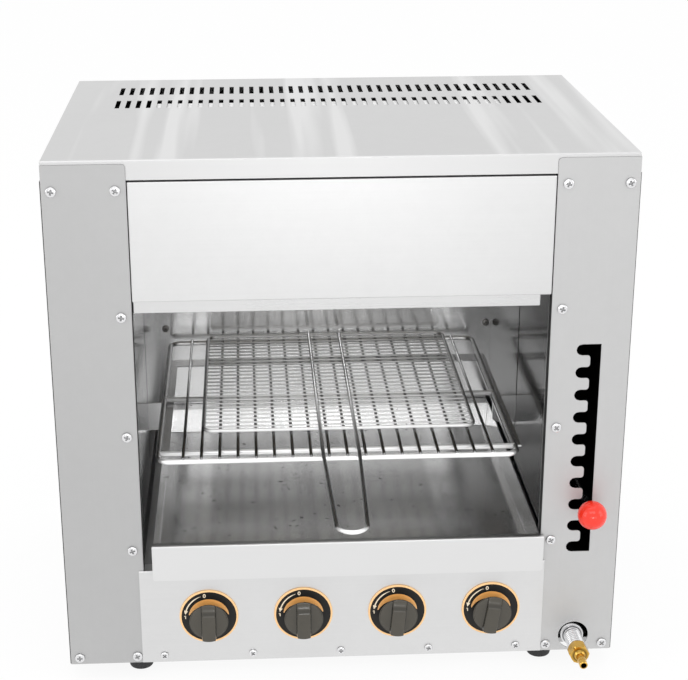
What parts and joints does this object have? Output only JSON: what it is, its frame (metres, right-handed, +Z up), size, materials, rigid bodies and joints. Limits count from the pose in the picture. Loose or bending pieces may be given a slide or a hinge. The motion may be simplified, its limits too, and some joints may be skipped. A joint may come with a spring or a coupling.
{
  "type": "salamander grill",
  "caption": "Countertop gas salamander grill: overhead burners, a wire rack with a hand net on a notched lift, a pull-out drip tray and turn-and-push knobs.",
  "frame": {"origin": "on the surface that the feet stand on, in the middle of the overall outline: between the side panels' outer faces, and between the end of the net's handle and the rear panel", "axes": "+X to the right of a user who faces the grill, +Y towards the rear panel, +Z up"},
  "size_m": [0.5826, 0.573, 0.568],
  "materials": {
    "body_steel": "fine satin stainless steel sheet",
    "mirror_steel": "bright stainless steel sheet, nearly a mirror",
    "burner_steel": "heat-darkened steel",
    "wire_steel": "chromed steel wire",
    "zinc": "zinc-plated steel",
    "brass": "machined brass",
    "aluminium": "plain drawn tube",
    "ceramic": null,
    "dial_black": "black lacquered sheet with printed marks",
    "knob_plastic": "dark olive-grey phenolic plastic, satin",
    "red_plastic": "glossy red",
    "foot_rubber": "black rubber"
  },
  "bodies": {
    "housing": {"top_cover": "body_steel", "left_front_panel": "body_steel", "right_front_panel": "body_steel", "left_side_panel": "body_steel", "right_side_panel": "body_steel", "back_panel": "body_steel", "base_pan": "body_steel", "fascia": "body_steel", "control_panel": "body_steel", "foot_1": "foot_rubber", "foot_2": "foot_rubber", "foot_3": "foot_rubber", "foot_4": "foot_rubber", "left_liner": "mirror_steel", "right_liner": "mirror_steel", "back_liner": "mirror_steel", "burner_hood": "body_steel", "burner_1": "burner_steel", "burner_2": "burner_steel", "burner_3": "burner_steel", "burner_4": "burner_steel", "ceramic_tile_1": "ceramic", "ceramic_tile_2": "ceramic", "ceramic_tile_3": "ceramic", "ceramic_tile_4": "ceramic", "heat_shield": "body_steel", "gas_manifold": "zinc", "inlet_coupling": "zinc", "hose_nipple": "brass", "valve_1": "brass", "valve_2": "brass", "valve_3": "brass", "valve_4": "brass", "gas_tube_1": "aluminium", "gas_tube_2": "aluminium", "gas_tube_3": "aluminium", "gas_tube_4": "aluminium", "dial_plate_1": "dial_black", "dial_plate_2": "dial_black", "dial_plate_3": "dial_black", "dial_plate_4": "dial_black", "left_lift_guide": "zinc", "right_lift_guide": "zinc"},
    "lift_carriage": {"lift_frame": "body_steel", "left_lift_bracket": "body_steel", "right_lift_bracket": "body_steel"},
    "lever": {"lift_lever": "zinc", "ball_knob": "red_plastic"},
    "rack": {"rack": "wire_steel"},
    "hand_net": {"hand_net": "wire_steel"},
    "drip_tray": {"drip_tray": "mirror_steel"},
    "stem_1": {"valve_stem_1": "zinc"},
    "stem_2": {"valve_stem_2": "zinc"},
    "stem_3": {"valve_stem_3": "zinc"},
    "stem_4": {"valve_stem_4": "zinc"},
    "knob_1": {"knob_1": "knob_plastic"},
    "knob_2": {"knob_2": "knob_plastic"},
    "knob_3": {"knob_3": "knob_plastic"},
    "knob_4": {"knob_4": "knob_plastic"}
  },
  "joints": [
    {"name": "lift_slide", "type": "slide", "parent": "housing", "child": "lift_carriage", "axis": [0, 0, 1], "range_m": [-0.0493, 0.148]},
    {"name": "lever_swing", "type": "hinge", "parent": "lift_carriage", "child": "lever", "pos_m": [0.25585, 0.0665, 0.19231], "axis": [0, 0, -1], "range_deg": [0, 4.87]},
    {"name": "rack_slide", "type": "slide", "parent": "lift_carriage", "child": "rack", "axis": [0, -1, 0], "range_m": [0, 0.2]},
    {"name": "net_slide", "type": "slide", "parent": "rack", "child": "hand_net", "axis": [0, -1, 0], "range_m": [0, 0.25]},
    {"name": "tray_slide", "type": "slide", "parent": "housing", "child": "drip_tray", "axis": [0, -1, 0], "range_m": [0, 0.3]},
    {"name": "knob_push_1", "type": "slide", "parent": "housing", "child": "stem_1", "axis": [0, 1, 0], "range_m": [0, 0.003], "stiffness_N_per_m": 1500},
    {"name": "knob_push_2", "type": "slide", "parent": "housing", "child": "stem_2", "axis": [0, 1, 0], "range_m": [0, 0.003], "stiffness_N_per_m": 1500},
    {"name": "knob_push_3", "type": "slide", "parent": "housing", "child": "stem_3", "axis": [0, 1, 0], "range_m": [0, 0.003], "stiffness_N_per_m": 1500},
    {"name": "knob_push_4", "type": "slide", "parent": "housing", "child": "stem_4", "axis": [0, 1, 0], "range_m": [0, 0.003], "stiffness_N_per_m": 1500},
    {"name": "knob_turn_1", "type": "hinge", "parent": "stem_1", "child": "knob_1", "pos_m": [-0.142, -0.1199, 0.073], "axis": [0, -1, 0], "range_deg": [0, 90]},
    {"name": "knob_turn_2", "type": "hinge", "parent": "stem_2", "child": "knob_2", "pos_m": [-0.042, -0.1199, 0.073], "axis": [0, -1, 0], "range_deg": [0, 90]},
    {"name": "knob_turn_3", "type": "hinge", "parent": "stem_3", "child": "knob_3", "pos_m": [0.058, -0.1199, 0.073], "axis": [0, -1, 0], "range_deg": [0, 95]},
    {"name": "knob_turn_4", "type": "hinge", "parent": "stem_4", "child": "knob_4", "pos_m": [0.158, -0.1199, 0.073], "axis": [0, -1, 0], "range_deg": [0, 99]}
  ]
}
